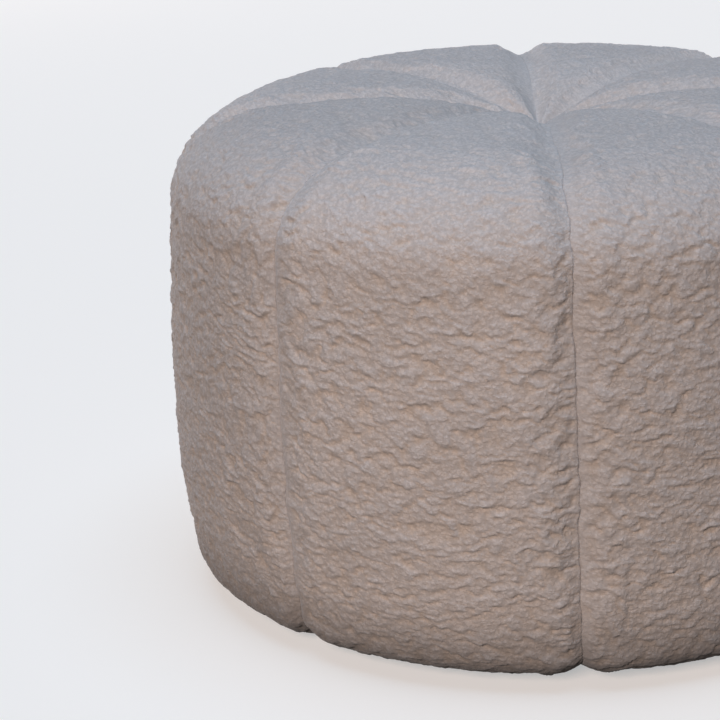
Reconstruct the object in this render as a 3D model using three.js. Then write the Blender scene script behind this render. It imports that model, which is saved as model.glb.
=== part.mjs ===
// A round footstool stuffed to a drum shape and covered in curly pile cloth. Eight gores, each cut
// in one length, run from the pit in the middle of the top over the shoulder, down the side and
// in under the base. Each gore is one filled solid with its own crown, and a hair's breadth parts
// it from its neighbours at the drawn-in seams.
// Millimetres, +Z up. The origin is the middle of the base, on the floor, and -Y is the front.
import * as THREE from "three";

// Overall size
const diameter = 600;
const height = 392;
const seamGap = 0.3;

// Crown line, down the middle of a gore, from the pit to the base
const pitRadius = 140; // the top sinks from here to the axis
const pitDepth = 36;
const pitHandle = 0.38; // share of the pit's radius at which its two slopes cross
const shoulderWidth = 96;
const shoulderDrop = 74;
const shoulderFall = 4; // top of the shoulder round below the highest ring of the top
const shoulderStart = 85; // degrees above the level line
const shoulderEnd = 2;
const belly = 4; // how far the side swells past the shoulder
const baseDrawIn = 10; // how far the foot of the side is drawn in from the widest ring
const baseRoundWidth = 67;
const baseRoundHeight = 32;
const baseRoundStart = -6;
const baseFlatRadius = 190; // flat on the floor from here to the axis
const bridgeReach = { top: 0.36, side: 0.256 }; // length of a bridge's handles, as a share of its span

// Seam valley below the crown, by the distance run along the crown line from the axis
const seamDepths = [
  { along: 0, depth: 0 }, // bottom of the pit
  { along: 20, depth: 5.5 },
  { along: 45, depth: 8 }, // slope of the pit
  { along: 100, depth: 6 },
  { along: 160, depth: 5.5 }, // lip of the pit
  { along: 235, depth: 7.5 }, // start of the shoulder
  { along: 630, depth: 7.5 }, // foot of the side
  { along: 675, depth: 6 }, // round of the base
  { along: 715, depth: 2 }, // edge of the base
  { along: 745, depth: 0 }, // flat of the base
  { along: 1000, depth: 0 },
];

// Section across a gore: a broad crown, and a roll beside each seam
const broadShare = 0.12;
const rollWidth = 24;
const rollShare = 0.9; // widest roll, as a share of half a narrow gore
const rollRoundness = 0.96; // share of a full quarter round in each roll

// Gores in order round the drum: bearing of the seam at the start of each, in degrees from the
// front towards +X, and fullness, the share of the seam depth by which its crown swells at the top
const goreTable = [
  { name: "gore_1", bearing: 4.0, fullness: 0.04 },
  { name: "gore_2", bearing: 49.4, fullness: -0.02 },
  { name: "gore_3", bearing: 93.7, fullness: 0.06 },
  { name: "gore_4", bearing: 139.3, fullness: 0.0 },
  { name: "gore_5", bearing: 184.4, fullness: 0.05 },
  { name: "gore_6", bearing: 229.1, fullness: -0.03 },
  { name: "gore_7", bearing: 273.8, fullness: 0.03 },
  { name: "gore_8", bearing: 319.0, fullness: 0.07 },
];
const seamLean = 1.85; // degrees by which the cover is turned from its top to its base

// Steps along each stretch of the crown line, and across a gore
const steps = { pit: 9, top: 3, shoulder: 11, side: 12, baseRound: 7, baseEdge: 1, base: 1 };
const stepsAcross = 14;

const pile = { color: 0xd8cdc1, roughness: 0.96, metalness: 0 };

const radians = THREE.MathUtils.degToRad;

// Part of an ellipse in the half plane of radius and height, between two angles in degrees
function arc(radius, level, width, rise, from, to) {
  return new THREE.EllipseCurve(radius, level, width, rise, radians(from), radians(to), from > to);
}

// Smooth curve from the end of one stretch to the start of the next, level with both
function bridge(before, after, reach) {
  const start = before.getPoint(1);
  const end = after.getPoint(0);
  const handle = start.distanceTo(end) * reach;
  const leave = before.getTangent(1).multiplyScalar(handle).add(start);
  const arrive = after.getTangent(0).multiplyScalar(-handle).add(end);
  return new THREE.CubicBezierCurve(start, leave, arrive, end);
}

// The stretches of the crown line in order, each with its steps
function crownStretches() {
  const shoulderRadius = diameter / 2 - belly - shoulderWidth;
  const shoulderLevel = height - shoulderFall - shoulderDrop;
  const baseRadius = diameter / 2 - baseDrawIn - baseRoundWidth;
  const pit = new THREE.QuadraticBezierCurve(
    new THREE.Vector2(0, height - pitDepth),
    new THREE.Vector2(pitRadius * pitHandle, height),
    new THREE.Vector2(pitRadius, height),
  );
  const shoulder = arc(
    shoulderRadius, shoulderLevel, shoulderWidth, shoulderDrop, shoulderStart, shoulderEnd,
  );
  const baseRound = arc(
    baseRadius, baseRoundHeight, baseRoundWidth, baseRoundHeight, baseRoundStart, -90,
  );
  const edge = new THREE.Vector2(baseRadius, 0);
  const flat = new THREE.Vector2(baseFlatRadius, 0);
  const middle = new THREE.Vector2(0, 0);
  return [
    { curve: pit, count: steps.pit },
    { curve: bridge(pit, shoulder, bridgeReach.top), count: steps.top },
    { curve: shoulder, count: steps.shoulder },
    { curve: bridge(shoulder, baseRound, bridgeReach.side), count: steps.side },
    { curve: baseRound, count: steps.baseRound },
    { curve: new THREE.LineCurve(edge, flat), count: steps.baseEdge },
    { curve: new THREE.LineCurve(flat, middle), count: steps.base },
  ];
}

// Depth of the seam valley at a distance along the crown line
function seamDepth(along) {
  const next = seamDepths.findIndex((row) => row.along > along);
  const before = seamDepths[next - 1];
  const after = seamDepths[next];
  return THREE.MathUtils.mapLinear(along, before.along, after.along, before.depth, after.depth);
}

// Stations down the crown line: place, outward normal and depth of the seams there
function crownStations() {
  const stations = [];
  let run = 0;
  for (const { curve, count } of crownStretches()) {
    const length = curve.getLength();
    const first = stations.length === 0 ? 0 : 1;
    for (let step = first; step <= count; step += 1) {
      const share = step / count;
      const tangent = curve.getTangentAt(share);
      stations.push({
        place: curve.getPointAt(share),
        outward: new THREE.Vector2(-tangent.y, tangent.x),
        depth: seamDepth(run + share * length),
      });
    }
    run += length;
  }
  return stations;
}

// Share of the seam depth lost at a place across the gore: across runs from -1 to 1, seam to seam,
// and halfWidth is the length from the crown to a seam there
function dip(across, halfWidth) {
  const fromSeam = (1 - Math.abs(across)) * halfWidth;
  const roll = THREE.MathUtils.clamp(rollShare * halfWidth, seamGap, rollWidth);
  const turn = rollRoundness * Math.max(0, 1 - fromSeam / roll);
  const round = (1 - Math.sqrt(1 - turn ** 2)) / (1 - Math.sqrt(1 - rollRoundness ** 2));
  return broadShare * across ** 2 + (1 - broadShare) * round;
}

// Point of the skin at a station, at a place across a gore between two bearings
function skinPoint(station, across, from, to, fullness) {
  const halfAngle = (to - from) / 2;
  const halfWidth = station.place.x * halfAngle;
  const swell = fullness * (1 - across ** 2) * (station.place.y / height);
  const sink = station.depth * (dip(across, halfWidth) - swell);
  const radius = station.place.x - station.outward.x * sink;
  const level = station.place.y - station.outward.y * sink;
  const turn = radians(seamLean) * (1 - level / height);
  const bearing = (from + to) / 2 + across * halfAngle + turn;
  return [radius * Math.sin(bearing), -radius * Math.cos(bearing), level];
}

// One gore: the skin between its two seams, closed by two fans from the middle of the axis
function goreGeometry(stations, from, to, fullness) {
  const points = [];
  const faces = [];
  const grid = [];
  stations.forEach((station, row) => {
    const tip = row === 0 || row === stations.length - 1;
    const places = tip ? 0 : stepsAcross;
    grid.push([]);
    for (let column = 0; column <= places; column += 1) {
      const across = tip ? 0 : Math.sin((Math.PI / 2) * ((2 * column) / stepsAcross - 1));
      grid[row].push(points.length / 3);
      points.push(...skinPoint(station, across, from, to, fullness));
    }
  });
  const axis = points.length / 3;
  points.push(0, 0, height / 2);

  for (let row = 0; row + 1 < grid.length; row += 1) {
    const upper = grid[row];
    const lower = grid[row + 1];
    for (let column = 0; column < stepsAcross; column += 1) {
      if (lower.length > 1) {
        faces.push(upper[column] ?? upper[0], lower[column], lower[column + 1]);
      }
      if (upper.length > 1) {
        faces.push(upper[column], lower[column + 1] ?? lower[0], upper[column + 1]);
      }
    }
    faces.push(axis, lower[0], upper[0]);
    faces.push(axis, upper.at(-1), lower.at(-1));
  }

  const geometry = new THREE.BufferGeometry();
  geometry.setAttribute("position", new THREE.Float32BufferAttribute(points, 3));
  geometry.setIndex(faces);
  geometry.computeVertexNormals();
  return geometry;
}

// All the gores, each slid out along its own middle line until the seam gap is open
function footstool() {
  const group = new THREE.Group();
  group.name = "drum_footstool";
  const stations = crownStations();
  goreTable.forEach((gore, order) => {
    const next = goreTable[(order + 1) % goreTable.length];
    const from = radians(gore.bearing);
    const to = radians(next.bearing) + (next.bearing < gore.bearing ? 2 * Math.PI : 0);
    const middle = (from + to) / 2;
    const slide = seamGap / 2 / Math.sin((to - from) / 2);
    const geometry = goreGeometry(stations, from, to, gore.fullness);
    const mesh = new THREE.Mesh(geometry, new THREE.MeshStandardMaterial(pile));
    mesh.name = gore.name;
    mesh.position.set(slide * Math.sin(middle), -slide * Math.cos(middle), 0);
    group.add(mesh);
  });
  return group;
}

export default footstool();
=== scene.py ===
# Drum footstool in curly cream pile cloth: eight stuffed gores on a pale studio floor.
# Metres, +Z up, the front towards -Y. A gore's own grid runs down from the pit in the middle of the
# top (along) and from seam to seam (across, -1 to 1).
import math

import bpy
import numpy as np
from mathutils import Matrix, Vector


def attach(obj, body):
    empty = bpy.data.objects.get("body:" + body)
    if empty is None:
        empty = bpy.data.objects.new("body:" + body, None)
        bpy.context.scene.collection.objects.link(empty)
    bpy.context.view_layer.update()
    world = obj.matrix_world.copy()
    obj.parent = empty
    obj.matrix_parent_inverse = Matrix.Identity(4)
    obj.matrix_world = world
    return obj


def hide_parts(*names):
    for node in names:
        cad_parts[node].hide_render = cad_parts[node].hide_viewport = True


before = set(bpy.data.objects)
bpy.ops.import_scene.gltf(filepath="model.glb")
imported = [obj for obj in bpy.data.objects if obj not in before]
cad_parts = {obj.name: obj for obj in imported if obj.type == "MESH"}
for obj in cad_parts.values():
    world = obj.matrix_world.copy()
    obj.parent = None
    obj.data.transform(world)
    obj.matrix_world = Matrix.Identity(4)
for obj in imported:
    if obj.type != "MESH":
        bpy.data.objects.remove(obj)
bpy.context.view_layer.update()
scene = bpy.context.scene
print("frame loaded,", len(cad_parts), "gores to dress")


# camera

cameraRig = {
    "place": (0.0, -1.838, 0.7585),
    "yaw": -4.62,    # degrees, looking a little to the left of the drum
    "pitch": 17.83,  # degrees below the level line
    "roll": -1.85,
    "lens": 117.7,
    "sensor": 36.0,
}


def addCamera():
    # turned upright, then down by the pitch, round by the yaw and about its own line by the roll
    data = bpy.data.cameras.new("photoCamera")
    data.lens = cameraRig["lens"]
    data.sensor_width = cameraRig["sensor"]
    camera = bpy.data.objects.new("photoCamera", data)
    scene.collection.objects.link(camera)
    pan = Matrix.Rotation(math.radians(-cameraRig["yaw"]), 4, "Z")
    tip = Matrix.Rotation(math.radians(90 - cameraRig["pitch"]), 4, "X")
    roll = Matrix.Rotation(math.radians(cameraRig["roll"]), 4, "Z")
    camera.matrix_world = Matrix.Translation(cameraRig["place"]) @ pan @ tip @ roll
    scene.camera = camera


addCamera()


# crown line, down the middle of a gore, as in the solids

drum = {
    "radius": 0.300,
    "height": 0.392,
    "seamGap": 0.0003,
    "pitRadius": 0.140,
    "pitDepth": 0.036,
    "pitHandle": 0.38,        # share of the pit's radius at which its two slopes cross
    "shoulderWidth": 0.096,
    "shoulderDrop": 0.074,
    "shoulderFall": 0.004,    # top of the shoulder round below the highest ring
    "shoulderStart": 85.0,    # degrees above the level line
    "shoulderEnd": 2.0,
    "belly": 0.004,
    "baseDrawIn": 0.010,
    "baseRoundWidth": 0.067,
    "baseRoundHeight": 0.032,
    "baseRoundStart": -6.0,
    "topReach": 0.36,         # handles of the two bridges, as a share of their spans
    "sideReach": 0.256,
    "steps": 400,             # points on each stretch of the crown line
    "sideFrom": 0.22,         # run at which the top starts to turn into the side, and its span
    "sideSpan": 0.14,
    "seamLean": 1.85,         # degrees by which the cover is turned from top to base
    "broadShare": 0.12,       # broad crown across a gore, the rest is the rolls at its seams
    "rollShare": 0.9,
    "rollWidth": 0.024,
    "rollRoundness": 0.78,
}

# depth of the seam valley by the run along the crown line
seamRun = np.array([0.0, 0.020, 0.045, 0.100, 0.160, 0.235, 0.630, 0.675, 0.715, 0.745, 1.0])
seamDepth = np.array([0.0, 5.5, 8.5, 8.5, 8.5, 10.0, 10.0, 7.5, 2.0, 0.0, 0.0]) * 0.001

# one row per gore: bearing of its first seam in degrees from the front towards +X, fullness of its
# crown, nap, the angle in degrees at which its tufts rise to the right, tone, its brightness, partly
# of its nap and partly painted light and shade for the side that it faces, and push, the way in
# metres by which its first seam is pulled aside on the side of the drum
goreRows = [
    {"name": "gore_1", "bearing": 4.0, "fullness": 0.04, "nap": 20.0, "tone": 0.96, "push": 0.0},
    {"name": "gore_2", "bearing": 49.4, "fullness": -0.02, "nap": 12.0, "tone": 0.95, "push": 0.0},
    {"name": "gore_3", "bearing": 93.7, "fullness": 0.06, "nap": -8.0, "tone": 0.965, "push": 0.0},
    {"name": "gore_4", "bearing": 139.3, "fullness": 0.0, "nap": 10.0, "tone": 1.01, "push": 0.0},
    {"name": "gore_5", "bearing": 184.4, "fullness": 0.05, "nap": -14.0, "tone": 0.99, "push": 0.0},
    {"name": "gore_6", "bearing": 229.1, "fullness": -0.03, "nap": 6.0, "tone": 1.0, "push": 0.0},
    {"name": "gore_7", "bearing": 273.8, "fullness": 0.03, "nap": -12.0, "tone": 0.93, "push": 0.0},
    {"name": "gore_8", "bearing": 319.0, "fullness": 0.07, "nap": 2.0, "tone": 1.01, "push": -0.0045},
]
for order, gore in enumerate(goreRows):
    nextBearing = goreRows[(order + 1) % len(goreRows)]["bearing"]
    gore["from"] = math.radians(gore["bearing"])
    gore["to"] = math.radians(nextBearing + (360 if nextBearing < gore["bearing"] else 0))
    gore["middle"] = (gore["from"] + gore["to"]) / 2
    gore["half"] = (gore["to"] - gore["from"]) / 2
    gore["order"] = order


def smoothStep(value):
    # 0 up to 0, 1 from 1, and between them three times the square less twice the cube
    value = np.clip(value, 0, 1)
    return value * value * (3 - 2 * value)


def arcPoints(centre, radii, start, end):
    # ellipse: centre plus the two radii times cosine and sine of an angle that runs from start to end
    angle = np.radians(np.linspace(start, end, drum["steps"]))[:, None]
    return np.array(centre) + np.hstack([radii[0] * np.cos(angle), radii[1] * np.sin(angle)])


def bezierPoints(handles):
    # polynomial blend of the handles, quadratic for three of them and cubic for four
    share = np.linspace(0, 1, drum["steps"])[:, None]
    degree = len(handles) - 1
    terms = [
        math.comb(degree, power) * (1 - share) ** (degree - power) * share**power * np.array(handle)
        for power, handle in enumerate(handles)
    ]
    return sum(terms)


def bridgePoints(before, after, reach):
    # cubic that leaves along the end of one stretch and arrives along the start of the next
    leave = before[-1] - before[-2]
    arrive = after[1] - after[0]
    handle = reach * np.linalg.norm(after[0] - before[-1])
    first = before[-1] + handle * leave / np.linalg.norm(leave)
    last = after[0] - handle * arrive / np.linalg.norm(arrive)
    return bezierPoints([before[-1], first, last, after[0]])


def crownLine():
    # pit parabola, bridge, shoulder ellipse, bridge down the side, base ellipse and the flat base,
    # with the run along them and the outward normal, a quarter turn left of the way down
    top = drum["height"]
    rim = drum["pitRadius"]
    pit = bezierPoints([(0, top - drum["pitDepth"]), (rim * drum["pitHandle"], top), (rim, top)])
    shoulderRadius = drum["radius"] - drum["belly"] - drum["shoulderWidth"]
    shoulderLevel = top - drum["shoulderFall"] - drum["shoulderDrop"]
    shoulder = arcPoints(
        (shoulderRadius, shoulderLevel), (drum["shoulderWidth"], drum["shoulderDrop"]),
        drum["shoulderStart"], drum["shoulderEnd"],
    )
    baseRadius = drum["radius"] - drum["baseDrawIn"] - drum["baseRoundWidth"]
    base = arcPoints(
        (baseRadius, drum["baseRoundHeight"]), (drum["baseRoundWidth"], drum["baseRoundHeight"]),
        drum["baseRoundStart"], -90,
    )
    flatRadius = np.linspace(baseRadius, 0, drum["steps"] // 2)
    flat = np.column_stack([flatRadius, 0 * flatRadius])
    line = np.vstack([
        pit, bridgePoints(pit, shoulder, drum["topReach"])[1:], shoulder[1:],
        bridgePoints(shoulder, base, drum["sideReach"])[1:], base[1:], flat[1:],
    ])
    run = np.concatenate([[0], np.cumsum(np.linalg.norm(np.diff(line, axis=0), axis=1))])
    slope = np.gradient(line, axis=0)
    slope /= np.linalg.norm(slope, axis=1)[:, None]
    return run, line, np.column_stack([-slope[:, 1], slope[:, 0]])


crownRun, crownPoint, crownOut = crownLine()


def onCrown(along):
    # radius, height and the two parts of the outward normal of the crown line at each run
    columns = np.hstack([crownPoint, crownOut]).T
    return [np.interp(along, crownRun, column) for column in columns]


def sideShare(along):
    # 0 on the top, 1 on the side, with a smooth step over the shoulder
    return smoothStep((along - drum["sideFrom"]) / drum["sideSpan"])


def seamDip(along, across, halfWidth):
    # share of the seam depth that a place has lost: a broad parabola, and next to the seam a roll;
    # on the side that is one minus the root of one minus the square of the way into it, and on the
    # top it is a smooth step, so that the valley there has a rounded floor
    fromSeam = (1 - np.abs(across)) * halfWidth
    roll = np.clip(drum["rollShare"] * halfWidth, drum["seamGap"], drum["rollWidth"])
    into = np.clip(1 - fromSeam / roll, 0, 1)
    roundness = drum["rollRoundness"]
    rolled = (1 - np.sqrt(1 - (roundness * into) ** 2)) / (1 - math.sqrt(1 - roundness**2))
    rolled = smoothStep(into) + sideShare(along) * (rolled - smoothStep(into))
    return drum["broadShare"] * across**2 + (1 - drum["broadShare"]) * rolled


def leanAt(level):
    # turn of the cover, which grows evenly from nothing at the top to the full lean at the floor
    return math.radians(drum["seamLean"]) * (1 - level / drum["height"])


def goreSkin(gore, along, across):
    # crown line moved in along its normal by the seam depth times the dip, less the gore's own
    # swell, then carried round to the bearing of each place across
    radius, level, outR, outZ = [part[:, None] for part in onCrown(along)]
    depth = np.interp(along, seamRun, seamDepth)[:, None]
    swell = gore["fullness"] * (1 - across**2) * level / drum["height"]
    sink = depth * (seamDip(along[:, None], across, radius * gore["half"]) - swell)
    radius = radius - outR * sink
    level = level - outZ * sink
    bearing = gore["middle"] + across * gore["half"] + leanAt(level)
    return np.stack([radius * np.sin(bearing), -radius * np.cos(bearing), level], axis=-1)


def outwardNormals(points):
    # cross product of the ways down and across the grid
    down = np.gradient(points, axis=0)
    side = np.gradient(points, axis=1)
    normal = np.cross(down, side)
    return normal / np.maximum(np.linalg.norm(normal, axis=-1, keepdims=True), 1e-12)


# stuffing: each gore's skin is blown out between its sewn edges

stuffing = {
    "rows": 84,
    "columns": 27,
    "start": 0.006,       # run from the axis at which the coarse skin starts
    "end": 0.745,         # and at which it lies flat on the floor
    "pressure": 4.0,
    "frames": 20,
    "quality": 8,
    "mass": 0.4,
    "stiffness": 200.0,
    "bending": 2.0,
    "slack": -0.010,      # cloth beside a seam is cut this much longer than the seam, so it puckers
    "slackWidth": 0.30,   # as a share of the half width
    "startSink": 0.0005,  # the skin starts this far inside its final crown
    "cap": 0.0015,        # most that the skin may move
    "pitFrom": 0.08,      # run at which the puckers start to show outside the pit, and its span
    "pitSpan": 0.12,
    "seamEase": 0.018,    # strip along a seam of the top in which they fade
    "fill": 0.85,
}


def cubicWeights(place, count):
    # Catmull-Rom weights of count even samples at each place, measured in samples
    gap = np.abs(place[:, None] - np.arange(count)[None, :])
    near = 1.5 * gap**3 - 2.5 * gap**2 + 1
    far = -0.5 * gap**3 + 2.5 * gap**2 - 4 * gap + 2
    weights = np.where(gap < 1, near, np.where(gap < 2, far, 0))
    return weights / weights.sum(axis=1, keepdims=True)


def gridFaces(rows, columns):
    # one four-cornered face between each two rows and columns, wound to face outwards
    corner = (np.arange(rows - 1)[:, None] * columns + np.arange(columns - 1)[None, :]).ravel()
    return np.column_stack([corner, corner + columns, corner + columns + 1, corner + 1])


def addCloth(helper, sewn, easy):
    # cloth under pressure, with its sewn edges pinned, no gravity, and slack outside the easy middle
    pins = helper.vertex_groups.new(name="sewn")
    pins.add(np.flatnonzero(sewn).tolist(), 1.0, "REPLACE")
    tight = helper.vertex_groups.new(name="tight")
    tight.add(np.flatnonzero(easy).tolist(), 1.0, "REPLACE")
    cloth = helper.modifiers.new("stuffing", "CLOTH")
    settings = cloth.settings
    settings.quality = stuffing["quality"]
    settings.mass = stuffing["mass"]
    settings.tension_stiffness = stuffing["stiffness"]
    settings.compression_stiffness = stuffing["stiffness"]
    settings.shear_stiffness = stuffing["stiffness"] / 4
    settings.bending_stiffness = stuffing["bending"]
    settings.vertex_group_mass = "sewn"
    settings.vertex_group_shrink = "tight"
    settings.shrink_min = stuffing["slack"]
    settings.shrink_max = 0.0
    settings.use_pressure = True
    settings.uniform_pressure_force = stuffing["pressure"]
    settings.effector_weights.gravity = 0
    cloth.collision_settings.use_collision = False
    cloth.point_cache.frame_start = 1
    cloth.point_cache.frame_end = stuffing["frames"]


def stuffGores():
    # all the coarse skins are blown out at once, and how far each place moves along its normal is
    # held under the cap by a hyperbolic tangent
    along = np.linspace(stuffing["start"], stuffing["end"], stuffing["rows"])
    across = np.linspace(-1, 1, stuffing["columns"])
    sewn = np.ones((stuffing["rows"], stuffing["columns"]), bool)
    sewn[1:-1, 1:-1] = False
    easy = np.broadcast_to(np.abs(across) < 1 - stuffing["slackWidth"], sewn.shape)
    helpers = []
    for gore in goreRows:
        rest = goreSkin(gore, along, across)
        inside = stuffing["startSink"] * (1 - across**2)[None, :, None] * outwardNormals(rest)
        start = np.where(sewn[..., None], rest, rest - inside)
        mesh = bpy.data.meshes.new("stuffing")
        mesh.from_pydata(start.reshape(-1, 3).tolist(), [], gridFaces(*sewn.shape).tolist())
        helper = bpy.data.objects.new("stuffing", mesh)
        scene.collection.objects.link(helper)
        addCloth(helper, sewn, easy)
        helpers.append((gore, helper, rest))
    for step in range(1, stuffing["frames"] + 1):
        scene.frame_set(step)
    for gore, helper, rest in helpers:
        with bpy.context.temp_override(object=helper, active_object=helper):
            bpy.ops.object.modifier_apply(modifier="stuffing")
        blown = np.empty(rest.size)
        helper.data.vertices.foreach_get("co", blown)
        lift = np.sum((blown.reshape(rest.shape) - rest) * outwardNormals(rest), axis=-1)
        gore["lift"] = np.where(sewn, 0, stuffing["cap"] * np.tanh(lift / stuffing["cap"]))
        mesh = helper.data
        bpy.data.objects.remove(helper)
        bpy.data.meshes.remove(mesh)
    scene.frame_set(1)
    spread = [np.round(1000 * np.percentile(gore["lift"], [5, 50, 95]), 1).tolist() for gore in goreRows]
    print("gores stuffed, lift in mm at 5, 50 and 95 %:", spread)


for gore in goreRows:
    gore["lift"] = np.zeros((stuffing["rows"], stuffing["columns"]))
stuffGores()


def stuffedSkin(gore, along, across):
    # fine skin plus the coarse lift, spread over it by cubic weights both ways, and faded by smooth
    # steps in the pit and beside the seams of the top
    skin = goreSkin(gore, along, across)
    rows, columns = gore["lift"].shape
    down = np.clip((along - stuffing["start"]) / (stuffing["end"] - stuffing["start"]), 0, 1) * (rows - 1)
    side = (across + 1) / 2 * (columns - 1)
    lift = cubicWeights(down, rows) @ gore["lift"] @ cubicWeights(side, columns).T
    run = along[:, None]
    fromSeam = (1 - np.abs(across)) * gore["half"] * onCrown(along)[0][:, None]
    soft = smoothStep(fromSeam / stuffing["seamEase"])
    outside = smoothStep((run - stuffing["pitFrom"]) / stuffing["pitSpan"])
    lift = lift * outside * (soft + (1 - soft) * sideShare(run))
    return skin + lift[..., None] * outwardNormals(skin)


# pile: tufts that lap over each other down the cloth, with curls on them

pile = {
    "height": 0.0044,
    "level": 0.72,             # share of the pile's height that lies inside the solid's skin
    "tuft": (0.0112, 0.0084),  # width and fall of a large tuft
    "tuftShare": 0.60,
    "lock": (0.0068, 0.0046),  # of a small one
    "lockShare": 0.30,
    "fineShare": 0.10,
    # noise that bends the pattern: push, width and fall in metres, and its place in the table
    "wave": [(0.010, 0.085, 0.07, 9, 5)],
    "bendSide": [(0.0040, 0.021, 0.016, 3, 11), (0.0022, 0.0065, 0.006, 23, 41)],
    "bendDown": [
        (0.0050, 0.021, 0.017, 31, 7), (0.0034, 0.0075, 0.008, 3, 17), (0.0022, 0.0038, 0.0038, 53, 67),
    ],
    "fine": [(0.5, 0.0026, 0.0022, 13, 43)],
    "topShare": 0.78,          # height of the pile on the top, where it is brushed flat
    "topFrom": 0.20,           # run at which it starts to rise to the side's, and the span
    "topSpan": 0.20,
    "pitFade": 0.03,           # the pile lies down towards the axis of the pit
    "baseFrom": 0.735,         # and from here on the floor, over this span
    "baseFade": 0.05,
    "firstFade": 0.014,        # smooth strip along a gore's first seam, and the pile left there
    "firstShare": 0.36,
    "lastFade": 0.005,         # the same along its last seam, which the pile's curls hang over
    "lastShare": 0.70,
    "uprightReach": 0.012,     # strip along a seam in which the pile turns to stand square to the crown
    "creaseShadeFrom": 80.0,        # fall of the pile per metre at which painted shade starts as a dark line under a lip
    "creaseShadeFull": 260.0,
    "curlMean": 0.6,           # mean height of the pattern, and how much of it shows on the top
    "curlTop": 0.4,
    "footShadeFrom": 0.575,         # run at which the painted shade at the foot of the side starts, and its span
    "footShadeSpan": 0.080,
}
lapShape = {
    # all in widths or falls of a tuft
    "shiftSide": 0.4,          # most that a lap is moved off its place
    "shiftDown": 0.60,
    "width": 0.85,
    "widthSpread": 0.3,
    "lipCurve": 0.65,
    "length": 1.3,
    "lipRound": 0.36,
    "rise": 0.78,
    "riseSpread": 0.22,
}


def softNoise(side, down, table):
    # value noise: the four table values round a place, blended each way by ten times the cube of the
    # way between them, less fifteen times the fourth power, plus six times the fifth
    left = np.floor(side).astype(int)
    upper = np.floor(down).astype(int)
    partSide = side - left
    partDown = down - upper
    partSide = partSide**3 * (partSide * (6 * partSide - 15) + 10)
    partDown = partDown**3 * (partDown * (6 * partDown - 15) + 10)
    size = len(table)
    right = (left + 1) % size
    lower = (upper + 1) % size
    left = left % size
    upper = upper % size
    leftValue = table[left, upper] * (1 - partDown) + table[left, lower] * partDown
    rightValue = table[right, upper] * (1 - partDown) + table[right, lower] * partDown
    return leftValue * (1 - partSide) + rightValue * partSide


def chanceTable(seed):
    return np.random.default_rng(seed).uniform(-1, 1, (256, 256))


def tuftField(side, down, table):
    # laps of pile in a brick pattern, each at a shifted place: a lap swells down to a curved lip,
    # rounds off to both sides and drops to nothing past the lip; the highest counts; 0 to 1
    shape = lapShape
    size = len(table)
    highest = np.zeros(side.shape)
    for rowStep in (-1, 0, 1, 2):
        row = np.floor(down).astype(int) + rowStep
        brick = side + 0.5 * (row % 2)
        middle = np.floor(brick).astype(int)
        for columnStep in (-1, 0, 1):
            column = middle + columnStep
            shiftSide = shape["shiftSide"] * table[column % size, row % size]
            shiftDown = shape["shiftDown"] * table[(row + 57) % size, (column + 31) % size]
            grow = table[(column + 91) % size, (row + 17) % size]
            lift = table[(row + 7) % size, (column + 3) % size]
            aside = (brick - column - 0.5 - shiftSide) / (shape["width"] + shape["widthSpread"] * grow)
            lip = 0.5 - shape["lipCurve"] * aside * aside
            inside = lip - (down - row - 0.5 - shiftDown)
            body = np.sqrt(np.clip(1 - inside / shape["length"], 0, 1))
            body = body * smoothStep(inside / shape["lipRound"])
            flank = np.sqrt(np.clip(1 - aside * aside, 0, 1))
            highest = np.maximum(highest, body * flank * (shape["rise"] + shape["riseSpread"] * lift))
    return highest


def bent(layers, side, down, table):
    # sum of layers of noise, each with its own push, width, fall and place in the table
    return sum(
        push * softNoise(side / width + startSide, down / fall + startDown, table)
        for push, width, fall, startSide, startDown in layers
    )


def pileField(gore, wide, along):
    # large tufts with small locks on them, both bent by noise, plus a fine roughness; 0 to 1
    table = chanceTable(400 + gore["order"])
    nap = math.radians(gore["nap"])
    side = wide * math.cos(nap) - along * math.sin(nap)
    down = wide * math.sin(nap) + along * math.cos(nap)
    down = down + bent(pile["wave"], side, down, table)
    pushSide = bent(pile["bendSide"], side, down, table)
    pushDown = bent(pile["bendDown"], side, down, table)
    side = side + pushSide
    down = down + pushDown
    tufts = tuftField(side / pile["tuft"][0], down / pile["tuft"][1], table)
    locks = tuftField(side / pile["lock"][0] + 19, down / pile["lock"][1] + 83, table)
    fine = 0.5 + bent(pile["fine"], side, down, table)
    return np.clip(pile["tuftShare"] * tufts + pile["lockShare"] * locks + pile["fineShare"] * fine, 0, 1)


# seams: how the curls of two gores meet

seam = {
    "fill": 0.0002,       # by which the curls fill the bottom of a seam
    "sink": 0.0007,       # by which they lie below the skin at a seam of the top
    "reach": 0.0034,
    "wander": 0.0016,     # how far the curls push the line of a seam to and fro
    "wanderLong": 0.017,  # pitch of the long and of the short wander, and the short one's share
    "wanderShort": 0.0075,
    "shortShare": 0.6,
    "wanderFrom": 0.05,   # run over which the wander grows in the pit and dies on the base
    "wanderRise": 0.1,
    "wanderEnd": 0.72,
    "wanderFall": 0.05,
    "ease": 0.018,        # strip along a seam that moves with its line
    "leastRadius": 0.03,
    "curl": 0.006,        # pitch at which the curls are full and thin
    "curlSpread": 0.4,
    "tableStep": 9,       # rows of the chance table between one seam and the next
}


def seamNoise(order, along, seed, pitch, start=0):
    # noise down a seam, the same for the gores on both sides of it
    line = order % len(goreRows) * seam["tableStep"] + 0.5
    return softNoise(along / pitch + start, line + 0 * along, chanceTable(seed))


def seamWander(order, along):
    # two scales of noise down a seam, plus its push
    wander = seamNoise(order, along, 900, seam["wanderLong"])
    wander = wander + seam["shortShare"] * seamNoise(order, along, 900, seam["wanderShort"], 50)
    push = goreRows[order % len(goreRows)]["push"] * sideShare(along)
    wander = seam["wander"] * wander * smoothStep((along - seam["wanderFrom"]) / seam["wanderRise"]) + push
    return wander * smoothStep((seam["wanderEnd"] - along) / seam["wanderFall"])


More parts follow.
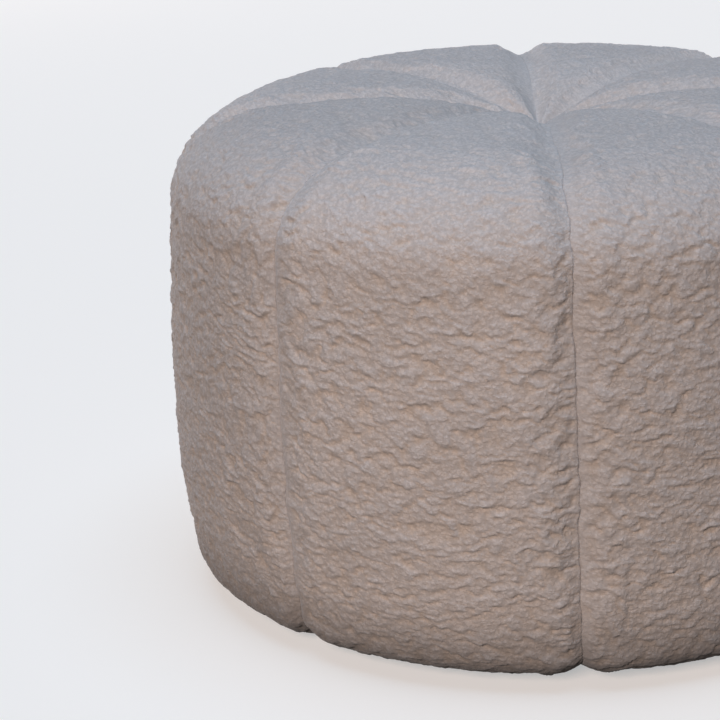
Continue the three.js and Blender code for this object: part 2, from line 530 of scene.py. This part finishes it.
def seamCurls(order, along):
    # how full the curls are down a seam, 0.6 to 1.4
    return 1 + seam["curlSpread"] * seamNoise(order, along, 901, seam["curl"])


# dressing: fine skins with their pile, closed through to the axis

grain = {
    # run along the crown line up to which each row pitch holds
    "bands": [(0.215, 0.0027), (0.349, 0.0014), (0.637, 0.0010), (0.718, 0.0020), (0.749, 0.006)],
    "first": 0.004,
    "baseRows": 5,
    "columns": 117,
    "edgeEase": 0.5,   # columns draw together towards the seams by this share of a quarter turn
}


def grainLines():
    # runs of the rows, even within each band, and places of the columns, by the sine of even angles
    start = grain["first"]
    rows = [np.array([start])]
    for end, pitch in grain["bands"]:
        count = max(1, round((end - start) / pitch))
        rows.append(np.linspace(start, end, count + 1)[1:])
        start = end
    rows.append(np.linspace(start, crownRun[-1], grain["baseRows"] + 1)[1:-1])
    even = np.linspace(-1, 1, grain["columns"])
    quarter = grain["edgeEase"] * math.pi / 2
    return np.concatenate(rows), np.sin(quarter * even) / math.sin(quarter)


def pileWays(skin, along, fromSeam):
    # way in which the pile stands: along the skin's normal, but beside a seam along the crown
    # line's own normal, so that the pile of two gores meets without crossing
    outR, outZ = [part[:, None] for part in onCrown(along)[2:]]
    bearing = np.arctan2(skin[..., 0], -skin[..., 1])
    upright = np.stack([outR * np.sin(bearing), -outR * np.cos(bearing), outZ + 0 * bearing], axis=-1)
    away = smoothStep(fromSeam / pile["uprightReach"])[..., None]
    way = away * outwardNormals(skin) + (1 - away) * upright
    return way / np.linalg.norm(way, axis=-1, keepdims=True)


def betweenSeams(gore, points, along, fromFirst, fromLast):
    # places turned about the axis with the wander of the nearer seam, which fades away from it, and
    # kept on their own side of both seams and off the floor
    run = along[:, None]
    radius = np.maximum(onCrown(along)[0][:, None], seam["leastRadius"])
    level = np.maximum(points[..., 2], 0)
    reach = np.hypot(points[..., 0], points[..., 1])
    bearing = np.arctan2(points[..., 0], -points[..., 1]) - gore["middle"]
    bearing = (bearing + math.pi) % (2 * math.pi) - math.pi - leanAt(level)
    shiftFirst = seamWander(gore["order"], run) / radius
    shiftLast = seamWander(gore["order"] + 1, run) / radius
    bearing = bearing + shiftFirst * (1 - smoothStep(fromFirst / seam["ease"]))
    bearing = bearing + shiftLast * (1 - smoothStep(fromLast / seam["ease"]))
    bearing = np.clip(bearing, shiftFirst - gore["half"], shiftLast + gore["half"])
    bearing = bearing + gore["middle"] + leanAt(level)
    return np.stack([reach * np.sin(bearing), -reach * np.cos(bearing), level], axis=-1)


def dressedSkin(gore, along, across):
    # stuffed skin moved along its normals by the pile, which fades at the seams, on the flat top and
    # under the base, and the marks of the pile that the cloth's colour follows, two of them painted
    # shade: under the lips and towards the foot
    skin = stuffedSkin(gore, along, across)
    run = along[:, None]
    halfWidth = gore["half"] * onCrown(along)[0][:, None]
    wide = across * halfWidth
    field = pileField(gore, wide + 0 * run, run + 0 * wide)
    fromFirst = (1 + across) * halfWidth
    fromLast = (1 - across) * halfWidth
    ground = smoothStep((pile["baseFrom"] - run) / pile["baseFade"]) * smoothStep(run / pile["pitFade"])
    first, last, top = pile["firstShare"], pile["lastShare"], pile["topShare"]
    share = first + (1 - first) * smoothStep(fromFirst / pile["firstFade"])
    share = share * (last + (1 - last) * smoothStep(fromLast / pile["lastFade"])) * ground
    share = share * (top + (1 - top) * smoothStep((run - pile["topFrom"]) / pile["topSpan"]))
    nearFirst = 1 - smoothStep(fromFirst / seam["reach"])
    nearLast = 1 - smoothStep(fromLast / seam["reach"])
    fill = seam["fill"] * sideShare(run) - seam["sink"] * (1 - sideShare(run))
    curls = nearFirst * seamCurls(gore["order"], run) + nearLast * seamCurls(gore["order"] + 1, run)
    move = share * pile["height"] * (field - pile["level"]) * (1 - nearFirst) * (1 - nearLast)
    move = move + fill * ground * curls
    points = skin + move[..., None] * pileWays(skin, along, np.minimum(fromFirst, fromLast))
    points = betweenSeams(gore, points, along, fromFirst, fromLast)
    fall = np.clip(-np.gradient(field, along, axis=0), 0, None) * share
    mean = pile["curlMean"]
    shown = pile["curlTop"] + (1 - pile["curlTop"]) * sideShare(run)
    marks = {
        "curl": mean + (field - mean) * share * shown,
        # painted shade: the cloth is darkened where the pile falls steeply under a lip
        "crease": smoothStep((fall - pile["creaseShadeFrom"]) / (pile["creaseShadeFull"] - pile["creaseShadeFrom"])),
        "loft": share,
        # painted shade: the cloth darkens towards the foot of the side
        "foot": smoothStep((run - pile["footShadeFrom"]) / pile["footShadeSpan"]) + 0 * wide,
    }
    return points, marks, wide


def fanFaces(point, starts, ends):
    # one triangle from a point to each pair of starts and ends
    return np.column_stack([np.full(len(starts), point), starts, ends]).tolist()


def dressGore(gore, along, across, material):
    # the dressed skin, closed to a tip at both ends of the axis and by two walls of triangles that
    # fan out from the middle of the axis
    points, marks, wide = dressedSkin(gore, along, across)
    rows, columns = points.shape[:2]
    tips = np.array([
        [0, 0, drum["height"] - drum["pitDepth"]], [0, 0, 0], [0, 0, drum["height"] / 2],
    ])
    verts = np.vstack([points.reshape(-1, 3), tips])
    slide = -drum["seamGap"] / 8 / math.sin(gore["half"])   # the pile closes the gap
    verts += slide * np.array([math.sin(gore["middle"]), -math.cos(gore["middle"]), 0])
    topTip, baseTip, axis = rows * columns + np.arange(3)
    first = np.arange(columns - 1)
    last = first + (rows - 1) * columns
    left = np.concatenate([[topTip], np.arange(rows) * columns, [baseTip]])
    right = np.concatenate([[topTip], np.arange(rows) * columns + columns - 1, [baseTip]])
    skinFaces = gridFaces(rows, columns).tolist()
    skinFaces += fanFaces(topTip, first, first + 1) + fanFaces(baseTip, last + 1, last)
    wallFaces = fanFaces(axis, left[1:], left[:-1]) + fanFaces(axis, right[:-1], right[1:])
    mesh = bpy.data.meshes.new(gore["name"] + "_pile")
    mesh.from_pydata(verts.tolist(), [], wallFaces + skinFaces)   # skin last: its normals hold at seams
    smooth = np.arange(len(mesh.polygons)) >= len(wallFaces)
    mesh.polygons.foreach_set("use_smooth", smooth)
    corner = np.empty(len(mesh.loops), int)
    mesh.loops.foreach_get("vertex_index", corner)
    cloth = np.column_stack([wide.ravel() + gore["order"], np.repeat(along, columns)])
    cloth = np.vstack([cloth, [[0, 0], [0, crownRun[-1]], [0, 0]]])
    mesh.uv_layers.new(name="cloth").data.foreach_set("uv", cloth[corner].ravel())
    for label, values in marks.items():
        layer = mesh.attributes.new(label, "FLOAT", "POINT")
        layer.data.foreach_set("value", np.concatenate([values.ravel(), [0, 0, 0]]))
    mesh.materials.append(material)
    mesh.update()
    piece = bpy.data.objects.new(gore["name"] + "_pile", mesh)
    scene.collection.objects.link(piece)
    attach(piece, "root")
    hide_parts(gore["name"])
    return len(skinFaces) * 2 + len(wallFaces)


# pile cloth

clothLook = {
    # root, body and tip are partly the pile's own colours and partly painted light: warm in the hollows,
    # cool and lighter at the tips
    "root": (0.548, 0.468, 0.400),   # deep between the tufts
    "body": (0.520, 0.474, 0.440),
    "tip": (0.545, 0.524, 0.510),
    "roughness": 0.95,
    "sheen": 0.22,
    "sheenRoughness": 0.5,
    "specular": 0.15,
    "nubScale": 270.0,    # nubs to the metre
    "nubStir": 0.005,
    "nubFlat": 0.4,       # height of the cloth where the pile is too low for nubs
    "fibre": 0.0003,      # bump depth
    "fibreShare": 0.7,
    # ranges of a mark or noise, and what they make of the colour or its brightness
    "rootToBody": (0.10, 0.62, 0.0, 1.0),
    "bodyToTip": (0.45, 0.95, 0.0, 1.0),
    "mottle": (0.0, 1.0, 0.92, 1.08),
    "speck": (0.25, 0.75, 0.90, 1.10),
    # painted shade, darker in the creases under the lips
    "crease": (0.0, 1.0, 1.0, 0.86),
    # painted shade in the gaps between nubs and a little painted light on them
    "nub": (0.0, 1.0, 0.90, 1.07),
    # painted shade, darker towards the foot of the side
    "foot": (0.0, 1.0, 1.0, 0.44),
}


def place(tree, kind, **values):
    # new node with its properties and the defaults of its named inputs
    node = tree.nodes.new(kind)
    for name, value in values.items():
        if hasattr(node, name):
            setattr(node, name, value)
        else:
            node.inputs[name].default_value = value
    return node


def newGroup(name, inputs, outputs):
    group = bpy.data.node_groups.new(name, "ShaderNodeTree")
    for label, kind in inputs:
        group.interface.new_socket(label, in_out="INPUT", socket_type=kind)
    for label, kind in outputs:
        group.interface.new_socket(label, in_out="OUTPUT", socket_type=kind)
    return group, group.nodes.new("NodeGroupInput"), group.nodes.new("NodeGroupOutput")


def ranged(tree, value, limits, smooth=False):
    # a value carried from one range to another and held at its ends
    node = place(tree, "ShaderNodeMapRange")
    node.interpolation_type = "SMOOTHSTEP" if smooth else "LINEAR"
    for label, number in zip(("From Min", "From Max", "To Min", "To Max"), limits):
        node.inputs[label].default_value = number
    tree.links.new(value, node.inputs["Value"])
    return node.outputs["Result"]


def combined(tree, operation, first, second):
    node = place(tree, "ShaderNodeMath", operation=operation)
    tree.links.new(first, node.inputs[0])
    tree.links.new(second, node.inputs[1])
    return node.outputs["Value"]


def blended(tree, factor, first, second):
    # one colour at factor 0 and the other at 1
    node = place(tree, "ShaderNodeMix", data_type="RGBA")
    tree.links.new(factor, node.inputs["Factor"])
    tree.links.new(first, node.inputs["A"])
    tree.links.new(second, node.inputs["B"])
    return node.outputs["Result"]


def nubGroup():
    # small curled nubs: cells of scattered points, stirred by noise and rounded, 1 in the middle of a
    # nub and 0 in the gaps, flatter where the pile is low
    group, given, made = newGroup(
        "nubs",
        [("Place", "NodeSocketVector"), ("Scale", "NodeSocketFloat"), ("Loft", "NodeSocketFloat")],
        [("Nub", "NodeSocketFloat")],
    )
    link = group.links.new
    stir = place(group, "ShaderNodeTexNoise", noise_dimensions="2D", Scale=260.0, Detail=2.0, Roughness=0.6)
    link(given.outputs["Place"], stir.inputs["Vector"])
    push = place(group, "ShaderNodeVectorMath", operation="MULTIPLY_ADD")
    push.inputs[1].default_value = (clothLook["nubStir"],) * 3
    link(stir.outputs["Color"], push.inputs[0])
    link(given.outputs["Place"], push.inputs[2])
    cells = place(group, "ShaderNodeTexVoronoi", voronoi_dimensions="2D", feature="SMOOTH_F1")
    cells.inputs["Smoothness"].default_value = 0.4
    link(push.outputs["Vector"], cells.inputs["Vector"])
    link(given.outputs["Scale"], cells.inputs["Scale"])
    nub = ranged(group, cells.outputs["Distance"], (0.05, 0.66, 1.0, 0.0), True)
    flat = place(group, "ShaderNodeMix", data_type="FLOAT")
    flat.inputs["A"].default_value = clothLook["nubFlat"]
    link(ranged(group, given.outputs["Loft"], (0.0, 1.0, 0.50, 1.0)), flat.inputs["Factor"])
    link(nub, flat.inputs["B"])
    link(flat.outputs["Result"], made.inputs["Nub"])
    return group


def curlToneGroup():
    # colour from root to tip by the height of the curl, partly the pile's own and partly painted light,
    # warm in the hollows and cool and lighter on the tips, mottled broadly and speckled finely, with
    # painted shade in creases under the lips, in the gaps between nubs and at the foot of the side, a
    # little painted light on the nubs, and scaled by the gore's tone
    look = clothLook
    group, given, made = newGroup(
        "curlTone",
        [("Curl", "NodeSocketFloat"), ("Crease", "NodeSocketFloat"), ("Nub", "NodeSocketFloat"),
         ("Place", "NodeSocketVector"), ("Root", "NodeSocketColor"), ("Body", "NodeSocketColor"),
         ("Tip", "NodeSocketColor"), ("Foot", "NodeSocketFloat"), ("Tone", "NodeSocketFloat")],
        [("Color", "NodeSocketColor")],
    )
    link = group.links.new
    curl = given.outputs["Curl"]
    toBody = ranged(group, curl, look["rootToBody"], True)
    toTip = ranged(group, curl, look["bodyToTip"], True)
    color = blended(group, toBody, given.outputs["Root"], given.outputs["Body"])
    color = blended(group, toTip, color, given.outputs["Tip"])
    mottle = place(group, "ShaderNodeTexNoise", Scale=14.0, Detail=2.0)
    speck = place(group, "ShaderNodeTexNoise", Scale=620.0, Detail=2.0)
    for noise in (mottle, speck):
        link(given.outputs["Place"], noise.inputs["Vector"])
    shade = ranged(group, mottle.outputs["Fac"], look["mottle"])
    factors = [
        ranged(group, speck.outputs["Fac"], look["speck"]),
        ranged(group, given.outputs["Crease"], look["crease"]),
        ranged(group, given.outputs["Nub"], look["nub"]),
        ranged(group, given.outputs["Foot"], look["foot"]),
        given.outputs["Tone"],
    ]
    for factor in factors:
        shade = combined(group, "MULTIPLY", shade, factor)
    toned = place(group, "ShaderNodeVectorMath", operation="SCALE")
    link(color, toned.inputs[0])
    link(shade, toned.inputs["Scale"])
    link(toned.outputs["Vector"], made.inputs["Color"])
    return group


def fibreGroup():
    # height of the nubs, with single fibres on them as streaks combed down the cloth
    group, given, made = newGroup(
        "fibreHeight",
        [("Cloth", "NodeSocketVector"), ("Nub", "NodeSocketFloat"), ("Turn", "NodeSocketFloat")],
        [("Height", "NodeSocketFloat")],
    )
    link = group.links.new
    turned = place(group, "ShaderNodeVectorRotate", rotation_type="Z_AXIS")
    link(given.outputs["Cloth"], turned.inputs["Vector"])
    link(given.outputs["Turn"], turned.inputs["Angle"])
    combed = place(group, "ShaderNodeMapping", vector_type="POINT", Scale=(820.0, 380.0, 1.0))
    link(turned.outputs["Vector"], combed.inputs["Vector"])
    streak = place(group, "ShaderNodeTexNoise", Scale=1.0, Detail=2.0, Distortion=0.6)
    link(combed.outputs["Vector"], streak.inputs["Vector"])
    fibres = ranged(group, streak.outputs["Fac"], (0.0, 1.0, 0.0, clothLook["fibreShare"]))
    link(combined(group, "ADD", given.outputs["Nub"], fibres), made.inputs["Height"])
    return group


def pileMaterial(gore, groups):
    # matt cloth with a little sheen, its colour and bump from the groups by the gore's tone and nap
    look = clothLook
    material = bpy.data.materials.new(gore["name"] + "_cloth")
    material.use_nodes = True
    tree = material.node_tree
    tree.nodes.clear()
    link = tree.links.new
    out = place(tree, "ShaderNodeOutputMaterial")
    cloth = place(tree, "ShaderNodeBsdfPrincipled", Roughness=look["roughness"])
    cloth.inputs["Sheen Weight"].default_value = look["sheen"]
    cloth.inputs["Sheen Roughness"].default_value = look["sheenRoughness"]
    cloth.inputs["Specular IOR Level"].default_value = look["specular"]
    link(cloth.outputs["BSDF"], out.inputs["Surface"])
    coords = place(tree, "ShaderNodeTexCoord")
    lie = place(tree, "ShaderNodeUVMap", uv_map="cloth")
    nubs = place(tree, "ShaderNodeGroup", node_tree=groups["nubs"])
    nubs.inputs["Scale"].default_value = look["nubScale"]
    tone = place(tree, "ShaderNodeGroup", node_tree=groups["tone"])
    for label in ("Root", "Body", "Tip"):
        tone.inputs[label].default_value = (*look[label.lower()], 1)
    # the gore's tone: partly of its nap, partly painted light and shade for the side that it faces
    tone.inputs["Tone"].default_value = gore["tone"]
    marked = [(nubs, "Loft"), (tone, "Curl"), (tone, "Crease"), (tone, "Foot")]
    for user, label in marked:
        mark = place(tree, "ShaderNodeAttribute", attribute_name=label.lower())
        link(mark.outputs["Fac"], user.inputs[label])
    link(lie.outputs["UV"], nubs.inputs["Place"])
    link(nubs.outputs["Nub"], tone.inputs["Nub"])
    link(coords.outputs["Object"], tone.inputs["Place"])
    link(tone.outputs["Color"], cloth.inputs["Base Color"])
    height = place(tree, "ShaderNodeGroup", node_tree=groups["fibres"])
    height.inputs["Turn"].default_value = math.radians(gore["nap"])
    link(lie.outputs["UV"], height.inputs["Cloth"])
    link(nubs.outputs["Nub"], height.inputs["Nub"])
    bump = place(tree, "ShaderNodeBump", Strength=1.0, Distance=look["fibre"])
    link(height.outputs["Height"], bump.inputs["Height"])
    link(bump.outputs["Normal"], cloth.inputs["Normal"])
    return material


rowRuns, columnPlaces = grainLines()
groups = {"nubs": nubGroup(), "tone": curlToneGroup(), "fibres": fibreGroup()}
triangles = 0
for gore in goreRows:
    material = pileMaterial(gore, groups)
    triangles += dressGore(gore, rowRuns, columnPlaces, material)
print("gores dressed,", len(rowRuns), "rows,", len(columnPlaces), "columns,", triangles, "triangles")


# studio

studio = {
    "floorSize": 14.0,
    "floorDrop": 0.0002,
    "floor": (0.58, 0.52, 0.46),   # a little warm, which the cool top light evens out
    "glow": (0.44, 0.44, 0.44),    # added to the floor as the camera sees it, which keeps it pale
    "thrown": (0.12, 0.11, 0.10),  # colour of the floor for the light that it throws on the drum
    "lampReach": 3.0,
    "panelReach": 5.0,
    "panelLift": 0.01,
}
lamps = [
    # bearing from the front towards +X and height in degrees, degrees of sky filled, strength, colour
    {"name": "topLamp", "bearing": 0, "height": 89, "spread": 50, "strength": 1.81,
     "color": (0.400, 0.680, 1.0)},
    {"name": "frontKey", "bearing": -16, "height": 30, "spread": 20, "strength": 2.29,
     "color": (1.0, 0.845, 0.790)},
]
panels = [
    # low panels behind, which light the back but not the top: bearing, width, height, watts, colour
    {"name": "leftPanel", "bearing": -152, "width": 2.4, "height": 0.30, "power": 95.0,
     "color": (1.0, 0.87, 0.80)},
    {"name": "rightPanel", "bearing": 132, "width": 2.4, "height": 0.30, "power": 95.0,
     "color": (1.0, 0.87, 0.80)},
]


def addFloor():
    # plain paint, which throws back on the drum only part of the light that falls on it
    half = studio["floorSize"] / 2
    drop = -studio["floorDrop"]
    mesh = bpy.data.meshes.new("floor")
    corners = [(-half, -half, drop), (half, -half, drop), (half, half, drop), (-half, half, drop)]
    mesh.from_pydata(corners, [], [(0, 1, 2, 3)])
    material = bpy.data.materials.new("floorPaint")
    material.use_nodes = True
    tree = material.node_tree
    tree.nodes.clear()
    link = tree.links.new
    paint = place(tree, "ShaderNodeBsdfDiffuse", Color=(*studio["floor"], 1))
    glow = place(tree, "ShaderNodeEmission", Color=(*studio["glow"], 1))
    thrown = place(tree, "ShaderNodeBsdfDiffuse", Color=(*studio["thrown"], 1))
    seen = place(tree, "ShaderNodeAddShader")
    link(paint.outputs["BSDF"], seen.inputs[0])
    link(glow.outputs["Emission"], seen.inputs[1])
    path = place(tree, "ShaderNodeLightPath")
    either = place(tree, "ShaderNodeMixShader")
    link(path.outputs["Is Camera Ray"], either.inputs["Fac"])
    link(thrown.outputs["BSDF"], either.inputs[1])
    link(seen.outputs["Shader"], either.inputs[2])
    link(either.outputs["Shader"], place(tree, "ShaderNodeOutputMaterial").inputs["Surface"])
    mesh.materials.append(material)
    floor = bpy.data.objects.new("floor", mesh)
    scene.collection.objects.link(floor)


def lampWay(bearing, height):
    # way from the drum to a lamp, from its bearing and its height in degrees
    turn = math.radians(bearing)
    rise = math.radians(height)
    return Vector((math.cos(rise) * math.sin(turn), -math.cos(rise) * math.cos(turn), math.sin(rise)))


def placeLamp(data, way, spot):
    # lamp at a spot, turned to shine back along the way
    lamp = bpy.data.objects.new(data.name, data)
    scene.collection.objects.link(lamp)
    lamp.location = spot
    lamp.rotation_euler = way.to_track_quat("Z", "Y").to_euler()
    return lamp


def addLight():
    # broad lamps far off, a cool one above and a warm one in front, and the low panels, in a dark room
    for lamp in lamps:
        way = lampWay(lamp["bearing"], lamp["height"])
        data = bpy.data.lights.new(lamp["name"], "SUN")
        data.energy = lamp["strength"]
        data.color = lamp["color"]
        data.angle = math.radians(lamp["spread"])
        placeLamp(data, way, studio["lampReach"] * way)
    for panel in panels:
        way = lampWay(panel["bearing"], 0)
        data = bpy.data.lights.new(panel["name"], "AREA")
        data.shape = "RECTANGLE"
        data.size = panel["width"]
        data.size_y = panel["height"]
        data.energy = panel["power"]
        data.color = panel["color"]
        middle = Vector((0, 0, studio["panelLift"] + panel["height"] / 2))
        placeLamp(data, way, studio["panelReach"] * way + middle).visible_camera = False
    scene.world = bpy.data.worlds.new("darkRoom")
    scene.world.color = (0, 0, 0)


addFloor()
addLight()
scene.view_settings.view_transform = "Standard"
print("studio lit")
